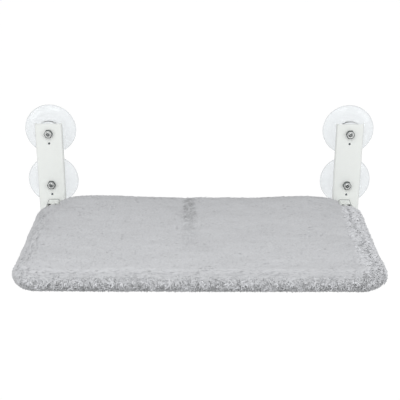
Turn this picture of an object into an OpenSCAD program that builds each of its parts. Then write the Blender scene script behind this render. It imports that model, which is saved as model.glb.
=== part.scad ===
// Window mounted cat perch. Millimetres, +Z up, the glass is the plane y = 0 and the bed is on its -Y side.
// The origin is on the glass, in the middle of the four suction cups.

/* [Suction cups] */
// Diameter of a cup's rim on the glass
cup_d = 88; // [76:1:104]
// Distance between the left and right cup centres
cup_span = 515.5; // [420:0.5:700]
// Gap between the rims of an upper and a lower cup
cup_gap = 5; // [2:0.5:30]
// Distance from the glass to the back of the plates
cup_depth = 23.5; // [21:0.5:30]
// Width of the flat ring that seals on the glass
rim_w = 5; // [3:0.5:8]
// Thickness of the cup's lip at the rim
lip_t = 1.2; // [0.8:0.1:2]
// Diameter of the cup's shoulder
shoulder_d = 60; // [54:1:66]
// Height of the cup's shoulder above the glass
shoulder_h = 9; // [7.5:0.5:11]
// Diameter of the neck that bears on the plate
neck_d = 41; // [40:0.5:41.5]
// Depth of the hollow under the cup
hollow_h = 3; // [2:0.5:4]
// Diameter of the peg that stops a cup turning
peg_d = 3.6; // [3:0.1:3.8]
// Distance from a cup's axis down to its peg
peg_drop = 18; // [16:0.5:18.5]

/* [Studs and nuts] */
// Diameter of a cup's stud
stud_d = 8; // [6:0.5:10]
// Diameter of the stud's head inside the cup
stud_head_d = 24; // [18:1:28]
// Thickness of the stud's head
stud_head_t = 2.5; // [2:0.5:3.5]
// Width of a nut across its flats
nut_af = 13; // [12:0.5:17]
// Height of a nut
nut_h = 6; // [4:0.5:8]
// Length of the stud that stands out of the nut
stud_proud = 1.5; // [1:0.5:3]

/* [Back plates] */
// Width of a back plate
plate_w = 46; // [43:1:60]
// Thickness of the plate's steel
plate_t = 2; // [1.5:0.1:2.5]
// Depth of the flanges behind the plate's front face
flange_depth = 10; // [6:0.5:11]
// Outside radius of the plate's bends
plate_bend_r = 2.8; // [2.6:0.1:3.5]
// Height of the plate above the upper cups' axis
plate_above = 17; // [12:0.5:30]
// Height of the plate below the hinge brackets
plate_below = 12; // [4:0.5:30]
// Radius of the corners at the flanges' ends
flange_corner_r = 5; // [2:0.5:5.5]

/* [Hinge brackets] */
// Distance from the lower cups' axis down to the top of the brackets
bracket_drop = 27.7; // [22:0.1:45]
// Thickness of the bracket's steel
bracket_t = 1.5; // [1:0.1:2]
// Distance that each bracket is set inwards from its plate's middle
bracket_inset = 2.5; // [0:0.5:6]
// Height of the bracket where it meets the plate
bracket_h = 24; // [22:0.5:34]
// Reach of the bracket's top over the tube, in front of the plate
stop_reach = 18.5; // [14:0.5:20]
// Distance from the plate's front to the pivot axis
pivot_reach = 29.5; // [29:0.5:40]
// Diameter of the pivot bolts
bolt_d = 6; // [5:0.5:7]
// Diameter of a pivot bolt's head
bolt_head_d = 10.5; // [10:0.5:13]
// Height of a pivot bolt's head
bolt_head_h = 3.3; // [2.5:0.1:4]
// Length of a pivot bolt under its head
bolt_len = 35; // [30:1:40]
// Thickness of a pivot washer
washer_t = 1.2; // [0.8:0.1:2]
// Diameter of a pivot washer
washer_d = 12; // [10:0.5:13]
// Diameter of the rivets
rivet_d = 4; // [3:0.5:5]

/* [Tube frame] */
// Outside diameter of the tubes
tube_d = 13; // [12:0.5:16]
// Thickness of the tube's wall
tube_wall = 1.2; // [0.8:0.1:1.6]
// Distance from the pivot axis to the middle of the front bar
leg_reach = 266; // [200:1:360]
// Length of a leg behind the pivot axis
leg_tail = 22; // [16:0.5:23]
// Radius of the front bends, to the middle of the tube
front_bend_r = 30; // [26:1:50]
// Length of a joint spigot
spigot_len = 80; // [50:1:120]
// Diameter of the joint screws
screw_d = 4; // [3:0.5:5]

/* [Soft goods] */
// Distance from the middle of a tube to the cover's outer edge
cover_margin = 21.5; // [17:0.5:30]
// Distance from the pivot axis to the cover's rear edge
cover_rear = 22; // [18:0.5:24]
// Thickness of plush and filling above the tubes
cover_above = 11; // [9:0.5:12]
// Thickness of plush below the tubes
cover_below = 4; // [3.6:0.1:8]
// Radius of the cover's front corners
front_corner_r = 42; // [36:1:70]
// Radius of the cover's rear corners
rear_corner_r = 75; // [50:1:90]
// Dip of the cover's top between the tubes
cover_dip = 2.5; // [0:0.1:4]
// Rise of the cover's rear edge over the crossbar
cover_rise = 4.5; // [0:0.1:5]
// Depth of the crease in the cover's top
crease_depth = 1.6; // [0:0.1:2.5]
// Thickness of the sling's canvas
sling_t = 1.2; // [0.8:0.1:1.5]
// Width of the cover's hem under the bed
hem_w = 58; // [50:1:80]
// Width of the elastic in the hem
elastic_w = 6; // [4:0.5:8]

/* [Hidden] */
$fn = 64;

// Overrun of every cut, running clearance of a pin, play between parts, and gap round soft pieces
cut = 1;
fit = 0.05;
play = 0.15;
stop_gap = 0.3;
soft_gap = 0.3;

// Cups
cup_r = cup_d / 2;
cup_x = cup_span / 2;
cup_z = (cup_d + cup_gap) / 2;
neck_r = neck_d / 2;
shoulder_r = shoulder_d / 2;
rim_in_r = cup_r - rim_w;
skirt_h = (lip_t + shoulder_h) / 2;
fillet_steps = 6;
peg_proud = 0.4;
stud_chamfer = 0.8;
nut_crown = 0.5;
nut_turn = [30, 12];
plate_hole_gap = 0.3;
stud_head_h = shoulder_h - stud_head_t;

// Places along Y, from the glass outwards
plate_front = -(cup_depth + plate_t);
pivot_y = plate_front - pivot_reach;
front_bar_y = pivot_y - leg_reach;
leg_end_y = pivot_y + leg_tail;
stud_end = -(cup_depth + plate_t + nut_h + stud_proud);

// Bracket and pivot
tube_r = tube_d / 2;
bore_r = tube_r - tube_wall;
bracket_top = -cup_z - bracket_drop;
pivot_z = bracket_top - bracket_t - stop_gap - tube_r;
nose_r = bracket_top - pivot_z;
bracket_x = cup_x - bracket_inset;
bracket_in = tube_r + washer_t + 2 * play;
bracket_out = bracket_in + bracket_t;
bracket_foot = bracket_top - bracket_h;
bracket_bend_r = 1.3 * bracket_t;
plate_top = cup_z + plate_above;
plate_foot = bracket_foot - plate_below;
bolt_r = bolt_d / 2;
bolt_hole_r = bolt_r + fit;
rivet_r = rivet_d / 2;
rivet_head_r = 1.8 * rivet_r;
rivet_head_h = 0.35 * rivet_d;
rivet_shares = [0.3, 0.76];
bolt_key = 4;

// Tubes
plug_flange = 2;
plug_len = 10;
insert_len = 16;
crossbar_end = bracket_x - bracket_out - play;
screw_share = 0.28;
screw_inset = 0.2;
screw_len = 4.6;
screw_key = 2;

// Sling and cover
sleeve_r = tube_r + 0.1 * sling_t + sling_t;
edge_r = (cover_above + tube_d + cover_below) / 2;
cover_top = pivot_z + tube_r + cover_above;
cover_mid = cover_top - edge_r;
cover_foot = cover_top - 2 * edge_r;
cover_half_w = bracket_x + cover_margin;
cover_front_y = front_bar_y - cover_margin;
cover_rear_y = pivot_y + cover_rear;
cover_mid_y = (cover_front_y + cover_rear_y) / 2;
cover_half_l = (cover_rear_y - cover_front_y) / 2;
side_draw = 2.2;
rise_middle_share = 0.5;
notch_gap = 2.2;
notch_x = bracket_x - bracket_out - notch_gap;
notch_y = pivot_y - nose_r - notch_gap;
sleeve_end_gap = 4;
elastic_t = 0.8;
hem_corner_r = 24;
crease_x = -21;
crease_half_w = 9;

// Pieces that repeat on both sides
module rightside(side) {
    if (side > 0) children();
    else mirror([1, 0, 0]) children();
}

// A round bar of radius r from a to b along X, and one along Y
module bar_x(a, b, r) {
    translate([a, 0, 0]) rotate([0, 90, 0]) cylinder(h = b - a, r = r);
}

module bar_y(a, b, r) {
    translate([0, b, 0]) rotate([90, 0, 0]) cylinder(h = b - a, r = r);
}

// Section of a cup, radius against height above the glass, with filleted shoulder and neck foot
function arc(cx, cy, r, a0, a1) =
    [for (i = [0:fillet_steps]) let (a = a0 + (a1 - a0) * i / fillet_steps) [cx + r * cos(a), cy + r * sin(a)]];

hub_fillet = (shoulder_r - neck_r) / 3;
skirt_fillet = (shoulder_h - skirt_h) / 2;

module cup_profile() {
    polygon(concat(
        [[0, hollow_h], [rim_in_r * 0.45, hollow_h * 0.8], [rim_in_r, 0], [cup_r - lip_t / 2, 0]],
        arc(cup_r - lip_t / 2, lip_t / 2, lip_t / 2, -90, 90),
        arc(shoulder_r + skirt_fillet, skirt_h + skirt_fillet, skirt_fillet, 270, 180),
        arc(shoulder_r - skirt_fillet, shoulder_h - skirt_fillet, skirt_fillet, 0, 90),
        arc(neck_r + hub_fillet, shoulder_h + hub_fillet, hub_fillet, 270, 180),
        [[neck_r, cup_depth], [0, cup_depth]]));
}

module cup() {
    color([0.93, 0.96, 0.98, 0.6]) rotate([90, 0, 0]) {
        difference() {
            rotate_extrude() cup_profile();
            translate([0, 0, stud_head_h]) cylinder(h = stud_head_t, d = stud_head_d);
            translate([0, 0, stud_head_h]) cylinder(h = cup_depth, d = stud_d);
        }
        translate([0, -peg_drop, cup_depth - cut]) cylinder(h = cut + plate_t + peg_proud, d = peg_d);
    }
}

module stud() {
    color("silver") rotate([90, 0, 0]) translate([0, 0, stud_head_h]) {
        cylinder(h = stud_head_t, d = stud_head_d);
        cylinder(h = -stud_end - stud_head_h - stud_chamfer, d = stud_d);
        translate([0, 0, -stud_end - stud_head_h - stud_chamfer])
            cylinder(h = stud_chamfer, d1 = stud_d, d2 = stud_d - 2 * stud_chamfer);
    }
}

module nut(turn) {
    color("silver") translate([0, plate_front, 0]) rotate([90, turn, 0]) difference() {
        intersection() {
            cylinder(h = nut_h, d = nut_af / cos(30), $fn = 6);
            union() {
                cylinder(h = nut_h - nut_crown, d = nut_af / cos(30));
                translate([0, 0, nut_h - nut_crown])
                    cylinder(h = nut_crown, d1 = nut_af / cos(30), d2 = nut_af);
            }
        }
        translate([0, 0, -cut]) cylinder(h = nut_h + 2 * cut, d = stud_d + 2 * fit);
    }
}

module at_cup(side, level) {
    translate([side * cup_x, 0, level * cup_z]) children();
}

// Plate outline across X and Y: a shallow channel that opens towards the glass
module rounded_block(w, d, r) {
    translate([r, 0]) square([w - 2 * r, d]);
    square([w, d - r]);
    translate([r, d - r]) circle(r = r);
    translate([w - r, d - r]) circle(r = r);
}

module back_plate() {
    color([0.93, 0.93, 0.91]) difference() {
        intersection() {
            translate([cup_x, plate_front, plate_foot]) linear_extrude(plate_top - plate_foot)
                mirror([0, 1]) translate([-plate_w / 2, -flange_depth]) difference() {
                    rounded_block(plate_w, flange_depth, plate_bend_r);
                    translate([plate_t, -cut])
                        rounded_block(plate_w - 2 * plate_t, flange_depth - plate_t + cut, plate_bend_r - plate_t);
                }
            translate([cup_x - plate_w, 0, 0]) rotate([90, 0, 90]) linear_extrude(2 * plate_w)
                translate([plate_front - cut, plate_foot]) flange_outline();
        }
        for (level = [-1, 1]) at_cup(1, level) {
            bar_y(plate_front - cut, 0, stud_d / 2 + plate_hole_gap);
            translate([0, 0, -peg_drop]) bar_y(plate_front - cut, 0, peg_d / 2 + plate_hole_gap);
        }
        bracket_rivet_places() bar_y(plate_front - cut, 0, rivet_r);
    }
}

// Side outline of the plate and flanges, with the flanges' rear corners rounded
module flange_outline() {
    w = flange_depth + cut;
    h = plate_top - plate_foot;
    r = flange_corner_r;
    square([w - r, h]);
    translate([0, r]) square([w, h - 2 * r]);
    for (z = [r, h - r]) translate([w - r, z]) circle(r = r);
}

module bracket_rivet_places() {
    for (s = rivet_shares) translate([bracket_x, 0, bracket_top - s * bracket_h]) children();
}

// Side outline of the bracket: its top edge, a round nose about the pivot and a slope down to the plate.
// The slope leaves the nose at the tangent point.
foot_dy = pivot_reach;
foot_dz = pivot_z - bracket_foot;
foot_far = sqrt(foot_dy * foot_dy + foot_dz * foot_dz);
foot_angle = atan2(-foot_dz, foot_dy) - acos(nose_r / foot_far);

module cheek_outline() {
    translate([pivot_y, pivot_z]) {
        circle(r = nose_r);
        polygon([[0, nose_r], [0, 0], nose_r * [cos(foot_angle), sin(foot_angle)], [foot_dy, -foot_dz],
            [foot_dy, nose_r]]);
    }
}

module hinge_bracket() {
    web_end = plate_front - stop_reach;
    color([0.93, 0.93, 0.91]) difference() {
        intersection() {
            union() {
                for (x = [-bracket_out, bracket_in]) translate([bracket_x + x, 0, 0])
                    rotate([90, 0, 90]) linear_extrude(bracket_t) cheek_outline();
                translate([bracket_x - bracket_out, web_end, bracket_top - bracket_t])
                    cube([2 * bracket_out, stop_reach, bracket_t]);
                translate([bracket_x - bracket_out, plate_front - bracket_t, bracket_foot])
                    cube([2 * bracket_out, bracket_t, bracket_h]);
            }
            translate([bracket_x, 0, 0]) rotate([90, 0, 0]) linear_extrude(-pivot_y + 2 * nose_r)
                bracket_section();
        }
        translate([0, pivot_y, pivot_z])
            bar_x(bracket_x - bracket_out - cut, bracket_x + bracket_out + cut, bolt_hole_r);
        bracket_rivet_places() bar_y(plate_front - bracket_t - cut, plate_front + cut, rivet_r);
    }
}

// Section across X and Z that rounds the bends between the bracket's top and cheeks
module bracket_section() {
    w = 2 * bracket_out;
    h = bracket_h + nose_r;
    translate([-bracket_out, bracket_top - h]) rounded_block(w, h, bracket_bend_r);
}

module bracket_rivets() {
    color("silver") bracket_rivet_places() {
        bar_y(plate_front - bracket_t, -cup_depth, rivet_r);
        translate([0, plate_front - bracket_t, 0]) rotate([90, 0, 0]) rivet_head();
        translate([0, -cup_depth, 0]) rotate([-90, 0, 0]) rivet_head();
    }
}

module rivet_head() {
    rotate_extrude() dome_profile(rivet_head_r, rivet_head_h, rivet_head_h / 5);
}

module pivot_bolt() {
    head_in = bracket_x + bracket_out + play;
    color("silver") translate([head_in, pivot_y, pivot_z]) rotate([0, 90, 0]) {
        translate([0, 0, -bolt_len]) cylinder(h = bolt_len, r = bolt_r);
        difference() {
            rotate_extrude() dome_profile(bolt_head_d / 2, bolt_head_h, bolt_head_h / 5);
            translate([0, 0, bolt_head_h / 2]) cylinder(h = bolt_head_h, d = bolt_key / cos(30), $fn = 6);
        }
    }
}

// Half section of a round head with a straight edge and a domed top
module dome_profile(r, h, edge_h) {
    polygon(concat([[0, 0], [r, 0]],
        [for (i = [0:fillet_steps]) let (a = 90 * i / fillet_steps) [r * cos(a), edge_h + (h - edge_h) * sin(a)]]));
}

module pivot_washers() {
    color("ivory") translate([0, pivot_y, pivot_z])
        for (x = [-tube_r - play - washer_t, tube_r + play]) translate([bracket_x + x, 0, 0]) difference() {
            bar_x(0, washer_t, washer_d / 2);
            bar_x(-cut, washer_t + cut, bolt_hole_r);
        }
}

// Leg, bend and half of the front bar, as a solid bar of radius r
module frame_path(r, tail, bar_start) {
    bend_x = bracket_x - front_bend_r;
    bend_y = front_bar_y + front_bend_r;
    translate([0, 0, pivot_z]) {
        translate([bracket_x, 0, 0]) bar_y(bend_y, tail, r);
        translate([bend_x, bend_y, 0]) rotate([0, 0, -90]) rotate_extrude(angle = 90)
            translate([front_bend_r, 0]) circle(r = r);
        translate([0, front_bar_y, 0]) bar_x(bar_start, bend_x, r);
    }
}

module frame_tube() {
    color("whitesmoke") difference() {
        frame_path(tube_r, leg_end_y, 0);
        frame_path(bore_r, leg_end_y + cut, -cut);
        translate([0, pivot_y, pivot_z])
            bar_x(bracket_x - tube_d, bracket_x + tube_d, bolt_hole_r);
        screw_place(front_bar_y) cylinder(h = tube_d, r = screw_d / 2 + fit);
    }
}

// The screws come up from below, each halfway along its side of the spigot
module screw_place(y) {
    translate([screw_share * spigot_len, y, pivot_z - tube_r]) translate([0, 0, -cut]) children();
}

module leg_plug() {
    color("dimgray") translate([bracket_x, 0, pivot_z]) {
        bar_y(leg_end_y - plug_len, leg_end_y, bore_r - fit);
        bar_y(leg_end_y, leg_end_y + plug_flange, tube_r);
    }
}

module crossbar() {
    color("whitesmoke") difference() {
        translate([0, pivot_y, pivot_z]) difference() {
            bar_x(0, crossbar_end, tube_r);
            bar_x(-cut, crossbar_end + cut, bore_r);
        }
        screw_place(pivot_y) cylinder(h = tube_d, r = screw_d / 2 + fit);
    }
}

module crossbar_insert() {
    color("goldenrod") translate([0, pivot_y, pivot_z]) difference() {
        bar_x(crossbar_end - insert_len, crossbar_end, bore_r - fit);
        bar_x(crossbar_end - insert_len - cut, crossbar_end + cut, bolt_hole_r);
    }
}

module joint_spigot(y) {
    color("silver") difference() {
        translate([0, y, pivot_z]) difference() {
            bar_x(-spigot_len / 2, spigot_len / 2, bore_r - fit);
            bar_x(-spigot_len / 2 - cut, spigot_len / 2 + cut, bore_r - 2 * tube_wall);
        }
        for (side = [-1, 1]) rightside(side)
            screw_place(y) cylinder(h = tube_r, r = screw_d / 2 + fit);
    }
}

module joint_screws(y) {
    color("silver") for (side = [-1, 1]) rightside(side)
        translate([screw_share * spigot_len, y, pivot_z - tube_r + screw_inset]) difference() {
            cylinder(h = screw_len, d = screw_d);
            translate([0, 0, -cut]) cylinder(h = cut + screw_d / 2, d = screw_key / cos(30), $fn = 6);
        }
}

// Canvas sling: a sheet under the tubes with a sleeve round each straight length, grown by extra
module sling_body(extra) {
    r = sleeve_r + extra;
    bend_x = bracket_x - front_bend_r;
    bend_y = front_bar_y + front_bend_r;
    rear_x = notch_x - sleeve_end_gap;
    rear_y = notch_y - sleeve_end_gap;
    translate([0, 0, pivot_z]) {
        for (side = [-1, 1]) rightside(side) translate([bracket_x, 0, 0]) bar_y(bend_y - extra, rear_y + extra, r);
        translate([0, front_bar_y, 0]) bar_x(-bend_x - extra, bend_x + extra, r);
        translate([0, pivot_y, 0]) bar_x(-rear_x - extra, rear_x + extra, r);
    }
    translate([0, 0, pivot_z - sleeve_r - extra]) linear_extrude(sling_t + 2 * extra) {
        translate([-bracket_x, bend_y - extra]) square([2 * bracket_x, rear_y - bend_y + 2 * extra]);
        translate([-bend_x - extra, front_bar_y]) square([2 * (bend_x + extra), leg_reach / 2]);
        translate([-rear_x - extra, pivot_y - leg_reach / 2]) square([2 * (rear_x + extra), leg_reach / 2]);
    }
}

module canvas_sling() {
    r = tube_r + 0.1 * sling_t;
    color([0.55, 0.57, 0.6]) difference() {
        sling_body(0);
        for (side = [-1, 1]) rightside(side) {
            frame_path(r, leg_end_y, -cut);
            translate([0, pivot_y, pivot_z]) bar_x(-cut, crossbar_end, r);
        }
    }
}

// Rounded rectangle under the bed, inset from the cover's edge
module hem_outline(inset) {
    w = cover_half_w - inset;
    f = cover_front_y + inset;
    b = cover_rear_y - inset;
    r = hem_corner_r;
    translate([-w + r, f]) square([2 * (w - r), b - f]);
    translate([-w, f + r]) square([2 * w, b - f - 2 * r]);
    for (x = [-w + r, w - r], y = [f + r, b - r]) translate([x, y]) circle(r = r);
}

module elastic_band(extra) {
    hem_low = cover_foot;
    hem_high = pivot_z - sleeve_r - soft_gap;
    mid = (hem_low + hem_high) / 2;
    translate([0, 0, mid - elastic_t / 2 - extra]) linear_extrude(elastic_t + 2 * extra) difference() {
        hem_outline(hem_w - 2 * elastic_w - extra);
        hem_outline(hem_w - elastic_w + extra);
    }
}

module hem_elastic() {
    color("white") elastic_band(0);
}

// Plush cover. Sections across X, each a loop of points that runs front to rear on top and back below.
roll_steps = 5;
flat_steps = 6;
roll_shares = [for (i = [0:roll_steps]) 1 - cos(90 * i / roll_steps)];
flat_shares = [for (i = [1:flat_steps - 1]) i / flat_steps];
side_angles = [80, 62, 44, 22, 0];
corner_shares = [0.86, 0.68, 0.46, 0.22];
middle_shares = [-1, -0.66, -0.36];
function stations(side) = concat(
    [for (a = side_angles) side * (cover_half_w - edge_r + edge_r * sin(a))],
    [for (s = corner_shares) side * (cover_half_w - rear_corner_r + s * (rear_corner_r - edge_r))]);
middle_w = cover_half_w - rear_corner_r;
crease_shares = [-2, -1, 0, 1, 2];
function reversed(list) = [for (i = [len(list) - 1:-1:0]) list[i]];
section_x = concat(
    stations(-1),
    [for (s = middle_shares) s * middle_w],
    [for (s = crease_shares) crease_x + s * crease_half_w],
    reversed([for (s = middle_shares) -s * middle_w]),
    reversed(stations(1)));

// Edge of the cover in front and behind at a given x
function corner_y(x, r) =
    let (over = max(0, abs(x) - (cover_half_w - r))) r - sqrt(max(0, r * r - over * over));
function front_edge(x) = cover_front_y + corner_y(x, front_corner_r);
function rear_edge(x) = cover_rear_y - corner_y(x, rear_corner_r);

// Distance outside the flat middle of the cover, whose outline lies edge_r inside the cover's edge
function outside(x, y) =
    let (r = (y < cover_mid_y ? front_corner_r : rear_corner_r) - edge_r,
        qx = abs(x) - (cover_half_w - edge_r - r),
        qy = abs(y - cover_mid_y) - (cover_half_l - edge_r - r))
    max(0, norm([max(qx, 0), max(qy, 0)]) + min(max(qx, qy), 0) - r);

function bell(t) = exp(-t * t);
function inner(x, y) = max(0, 1 - pow(x / cover_half_w, 2)) * max(0, 1 - pow((y - cover_mid_y) / cover_half_l, 2));
function crease(x, y) = crease_depth * bell((x - crease_x) / crease_half_w)
    * max(0, min(1, (cover_rear_y - y) / edge_r)) * max(0, min(1, (y - cover_mid_y) / cover_half_l + 0.5));
function rise(x, y) = cover_rise * (rise_middle_share + (1 - rise_middle_share) * pow(x / notch_x, 2))
    * max(0, 1 - pow(x / notch_x, 8)) * pow(max(0, (y - cover_mid_y) / cover_half_l), 2);
function half_height(x, y) = sqrt(max(0, edge_r * edge_r - pow(min(outside(x, y), edge_r), 2)));

function section_ys(x) =
    let (a = front_edge(x), b = rear_edge(x), roll = min(edge_r, (b - a) / 3))
    concat([for (s = roll_shares) a + s * roll],
        [for (s = flat_shares) a + roll + s * (b - a - 2 * roll)],
        reversed([for (s = roll_shares) b - s * roll]));

// The sides draw in between the corners
function drawn(x, y) = x * (1 - side_draw / cover_half_w * max(0, 1 - pow((y - cover_mid_y) / cover_half_l, 2)));
function top_point(x, y) = [drawn(x, y), y, cover_mid + half_height(x, y)
    + (half_height(x, y) / edge_r) * (rise(x, y) - cover_dip * inner(x, y) - crease(x, y))];
function low_point(x, y) = [drawn(x, y), y, cover_mid - half_height(x, y)];

function section(x) =
    let (ys = section_ys(x), n = len(ys))
    concat([for (y = ys) top_point(x, y)], [for (i = [n - 2:-1:1]) low_point(x, ys[i])]);

module cover_form() {
    loops = [for (x = section_x) section(x)];
    n = len(loops[0]);
    m = len(loops);
    points = [for (loop = loops) each loop];
    walls = [for (i = [0:m - 2], j = [0:n - 1], k = [0, 1])
        let (a = i * n + j, b = i * n + (j + 1) % n, c = a + n, d = b + n)
        k == 0 ? [a, c, b] : [b, c, d]];
    first_cap = [for (j = [1:n - 2]) [0, j, j + 1]];
    last_cap = [for (j = [1:n - 2]) [(m - 1) * n, (m - 1) * n + j + 1, (m - 1) * n + j]];
    polyhedron(points, concat(walls, first_cap, last_cap));
}

module plush_cover() {
    color([0.73, 0.74, 0.76]) difference() {
        cover_form();
        for (side = [-1, 1]) rightside(side) {
            frame_path(tube_r + soft_gap, leg_end_y, -cut);
            translate([notch_x, notch_y, cover_foot - cut])
                cube([cover_margin + 2 * bracket_out + notch_gap, cover_rear - (notch_y - pivot_y) + cut,
                    2 * (edge_r + cut)]);
        }
        translate([0, pivot_y, pivot_z]) bar_x(-crossbar_end, crossbar_end, tube_r + soft_gap);
        sling_body(soft_gap);
        translate([0, 0, cover_foot - cut]) linear_extrude(pivot_z - sleeve_r - cover_foot + cut)
            hem_outline(hem_w);
        elastic_band(play);
    }
}

rightside(-1) back_plate();  // left_back_plate
back_plate();  // right_back_plate
at_cup(-1, 1) cup();  // upper_left_cup
at_cup(-1, -1) cup();  // lower_left_cup
at_cup(1, 1) cup();  // upper_right_cup
at_cup(1, -1) cup();  // lower_right_cup
at_cup(-1, 1) stud();  // upper_left_stud
at_cup(-1, -1) stud();  // lower_left_stud
at_cup(1, 1) stud();  // upper_right_stud
at_cup(1, -1) stud();  // lower_right_stud
at_cup(-1, 1) nut(nut_turn[0]);  // upper_left_nut
at_cup(-1, -1) nut(nut_turn[1]);  // lower_left_nut
at_cup(1, 1) nut(nut_turn[0]);  // upper_right_nut
at_cup(1, -1) nut(-nut_turn[1]);  // lower_right_nut
rightside(-1) hinge_bracket();  // left_hinge_bracket
hinge_bracket();  // right_hinge_bracket
rightside(-1) bracket_rivets();  // left_bracket_rivets
bracket_rivets();  // right_bracket_rivets
rightside(-1) pivot_bolt();  // left_pivot_bolt
pivot_bolt();  // right_pivot_bolt
rightside(-1) pivot_washers();  // left_pivot_washers
pivot_washers();  // right_pivot_washers
rightside(-1) frame_tube();  // left_frame_tube
frame_tube();  // right_frame_tube
rightside(-1) leg_plug();  // left_leg_plug
leg_plug();  // right_leg_plug
rightside(-1) crossbar();  // left_crossbar
crossbar();  // right_crossbar
rightside(-1) crossbar_insert();  // left_crossbar_insert
crossbar_insert();  // right_crossbar_insert
joint_spigot(front_bar_y);  // front_joint_spigot
joint_spigot(pivot_y);  // rear_joint_spigot
joint_screws(front_bar_y);  // front_joint_screws
joint_screws(pivot_y);  // rear_joint_screws
canvas_sling();
hem_elastic();
plush_cover();
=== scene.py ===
import math
import bmesh
import bpy
import numpy as np
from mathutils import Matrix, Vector


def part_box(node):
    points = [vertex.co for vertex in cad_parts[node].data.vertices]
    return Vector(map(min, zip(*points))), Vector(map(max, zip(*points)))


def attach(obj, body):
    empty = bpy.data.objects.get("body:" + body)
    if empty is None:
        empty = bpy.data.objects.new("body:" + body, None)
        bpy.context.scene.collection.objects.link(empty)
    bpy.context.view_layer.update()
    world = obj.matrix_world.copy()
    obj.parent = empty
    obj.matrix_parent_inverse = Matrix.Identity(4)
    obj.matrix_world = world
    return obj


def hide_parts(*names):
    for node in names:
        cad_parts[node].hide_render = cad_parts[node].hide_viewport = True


# Window mounted cat perch: plush bed on a folding tube frame, held on the glass by suction cups
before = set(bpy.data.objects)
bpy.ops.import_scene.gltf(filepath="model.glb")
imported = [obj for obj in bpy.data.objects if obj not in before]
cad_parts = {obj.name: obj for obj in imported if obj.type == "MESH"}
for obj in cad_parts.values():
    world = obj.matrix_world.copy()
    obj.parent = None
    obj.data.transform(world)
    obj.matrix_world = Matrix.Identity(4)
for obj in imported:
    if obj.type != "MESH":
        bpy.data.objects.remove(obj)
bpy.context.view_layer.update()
mm = 0.001
wallBody, bedBody = "window_brackets", "bed"
cupSpots = ["upper_left", "upper_right", "lower_left", "lower_right"]


def axisOf(node):
    # where the node's axis, which runs along Y, starts on the glass
    return np.mean([np.array(corner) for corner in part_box(node)], axis=0) * (1, 0, 1)


def newObject(name, data):
    obj = bpy.data.objects.new(name, data)
    bpy.context.collection.objects.link(obj)
    return obj


# camera
photoView = {
    "place": (0.0, -1.507, 0.5195),
    "pitchDown": 21.88, "roll": -0.13,    # degrees below the horizon, and of roll
    "focalPixels": 907.7, "framePixels": 400.0, "sensor": 36.0,
}


def makeCamera(v):
    data = bpy.data.cameras.new("camera")
    data.sensor_width = v["sensor"]
    data.lens = v["focalPixels"] * v["sensor"] / v["framePixels"]
    cam = newObject("camera", data)
    cam.location = v["place"]
    cam.rotation_euler = (math.radians(90 - v["pitchDown"]), math.radians(v["roll"]), 0)
    bpy.context.scene.camera = cam


makeCamera(photoView)

# nodes


def clearTree(owner):
    owner.use_nodes = True
    owner.node_tree.nodes.clear()
    return owner.node_tree


def feed(tree, node, inputs):
    # each input, by label or number, takes a constant, a colour or another node's output
    for label, v in inputs.items():
        if isinstance(v, bpy.types.NodeSocket):
            tree.links.new(v, node.inputs[label])
        else:
            node.inputs[label].default_value = (*v, 1.0) if isinstance(v, tuple) else v
    return node.outputs


def setAll(owner, values):
    for name, v in values.items():
        setattr(owner, name, v)


def addNode(tree, kind, inputs={}, **settings):
    node = tree.nodes.new("ShaderNode" + kind)
    setAll(node, settings)
    return feed(tree, node, inputs)


def mathNode(tree, operation, *values):
    return addNode(tree, "Math", dict(enumerate(values)), operation=operation)[0]


def times(tree, a, b, plus=0.0):
    return mathNode(tree, "MULTIPLY_ADD", a, b, plus)


def noiseNode(tree, vector, scale, detail=3.0):
    return addNode(tree, "TexNoise", {"Vector": vector, "Scale": scale, "Detail": detail})[0]


def mixColours(tree, share, a, b, way="MIX"):
    return addNode(tree, "Mix", {0: share, 6: a, 7: b}, data_type="RGBA", blend_type=way)[2]


def axes(tree, vector):
    return addNode(tree, "SeparateXYZ", {0: vector})


def objectPlace(tree):
    return addNode(tree, "TexCoord")["Object"]


def attribute(tree, name):
    return addNode(tree, "Attribute", attribute_name=name)["Fac"]


# studio
studio = {
    "floorDrop": 0.72, "floorSize": 24.0,    # depth below the origin, and width
    "worldLight": 0.39,
    # soft boxes: place, aim, size and power
    "lamps": {
        "overhead": ((-0.1, -1.15, 1.1), (0.0, -0.25, -0.07), 1.0, 12.3),
        "leftBox": ((-1.3, -1.25, 0.42), (-0.2, -0.05, 0.05), 0.7, 4.9),
        "rightBox": ((1.3, -1.25, 0.42), (0.2, -0.05, 0.05), 0.7, 5.5),
    },
    "floorWhite": (0.9, 0.9, 0.9),
    "shadowShare": 0.07,    # share of the floor that is lit, and so takes a shadow
    "floorGlow": 1.055,    # makes up for that share, so that the bare floor is just white
}


def seenDirectly(tree):
    # 1 for camera, glossy and transmission rays, 0 for the light that the object gets
    path = addNode(tree, "LightPath")
    either = mathNode(tree, "MAXIMUM", path["Is Camera Ray"], path["Is Glossy Ray"])
    return mathNode(tree, "MAXIMUM", either, path["Is Transmission Ray"])


def mixedTo(tree, outKind, share, unseen, seen):
    mix = addNode(tree, "MixShader", {0: share, 1: unseen[0], 2: seen[0]})
    addNode(tree, outKind, {"Surface": mix[0]})


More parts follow.
